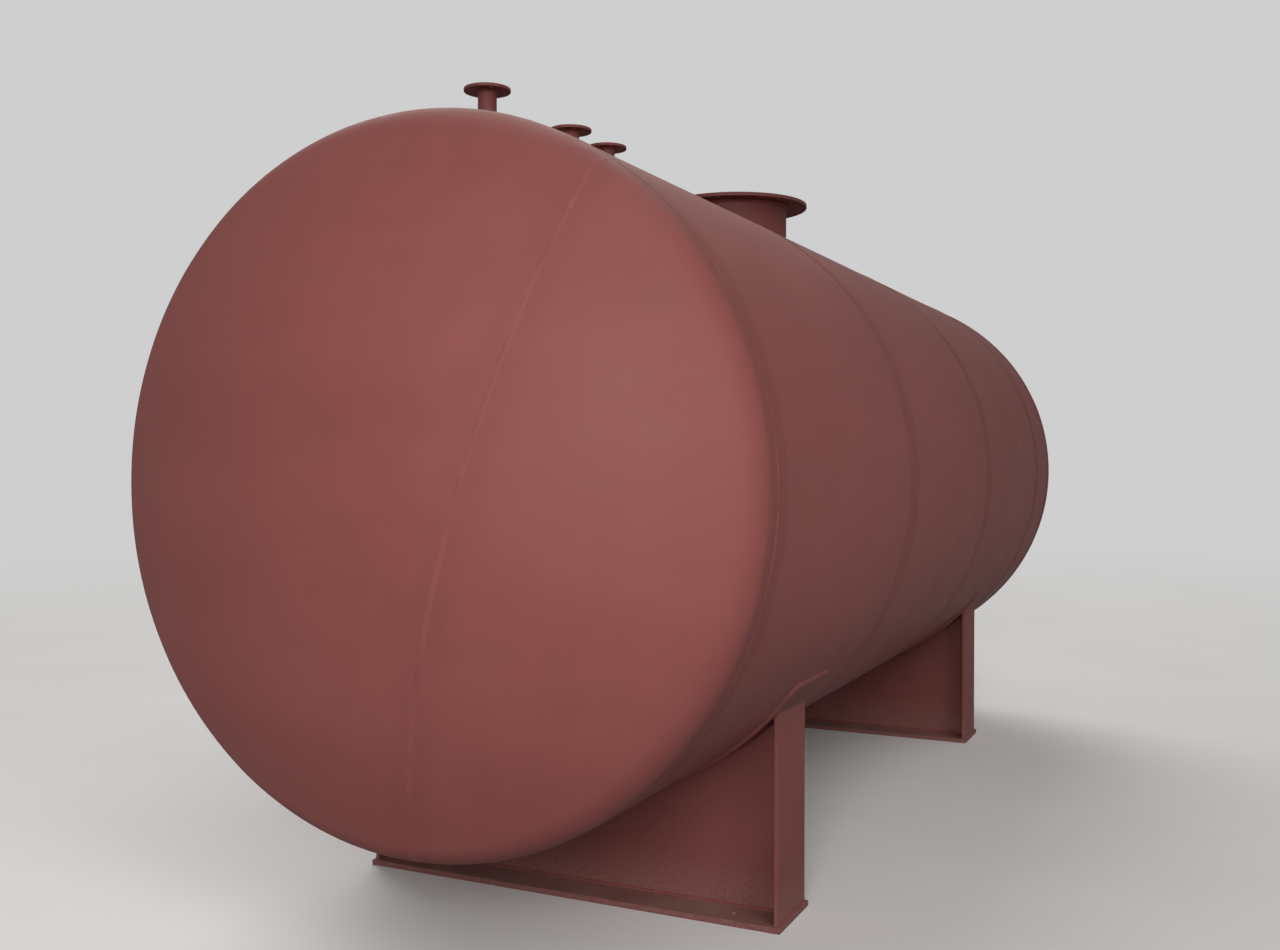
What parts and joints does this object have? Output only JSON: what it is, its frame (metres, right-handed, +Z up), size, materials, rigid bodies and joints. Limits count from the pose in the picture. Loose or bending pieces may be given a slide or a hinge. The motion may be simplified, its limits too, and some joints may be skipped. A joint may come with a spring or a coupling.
{
  "type": "horizontal pressure tank",
  "caption": "Horizontal welded steel pressure tank with dished ends, an open flanged manway and small flanged nozzles along its crown, standing on plate saddles.",
  "frame": {"origin": "on the floor under the middle of the tank, at the centre of the saddles' footprint", "axes": "+X along the tank from the near end with the nozzles towards the far end, +Z up, -Y towards the front flank"},
  "size_m": [5.795, 2.205, 2.752],
  "materials": {
    "shell_primer": "satin",
    "fitting_primer": "satin",
    "saddle_primer": "satin"
  },
  "bodies": {
    "root": {"near_head": "shell_primer", "far_head": "shell_primer", "shell_course_1": "shell_primer", "shell_course_2": "shell_primer", "shell_course_3": "shell_primer", "shell_course_4": "shell_primer", "girth_weld_1": "shell_primer", "girth_weld_2": "shell_primer", "girth_weld_3": "shell_primer", "girth_weld_4": "shell_primer", "girth_weld_5": "shell_primer", "near_head_weld": "shell_primer", "far_head_weld": "shell_primer", "long_weld_1": "shell_primer", "long_weld_2": "shell_primer", "long_weld_3": "shell_primer", "long_weld_4": "shell_primer", "manway_neck": "fitting_primer", "manway_flange": "fitting_primer", "nozzle_1_neck": "fitting_primer", "nozzle_1_flange": "fitting_primer", "nozzle_2_neck": "fitting_primer", "nozzle_2_flange": "fitting_primer", "nozzle_3_neck": "fitting_primer", "nozzle_3_flange": "fitting_primer", "near_saddle_base": "saddle_primer", "near_saddle_web": "saddle_primer", "near_saddle_front_plate": "saddle_primer", "near_saddle_rear_plate": "saddle_primer", "near_saddle_wear_plate": "saddle_primer", "far_saddle_base": "saddle_primer", "far_saddle_web": "saddle_primer", "far_saddle_front_plate": "saddle_primer", "far_saddle_rear_plate": "saddle_primer", "far_saddle_wear_plate": "saddle_primer"}
  },
  "joints": []
}
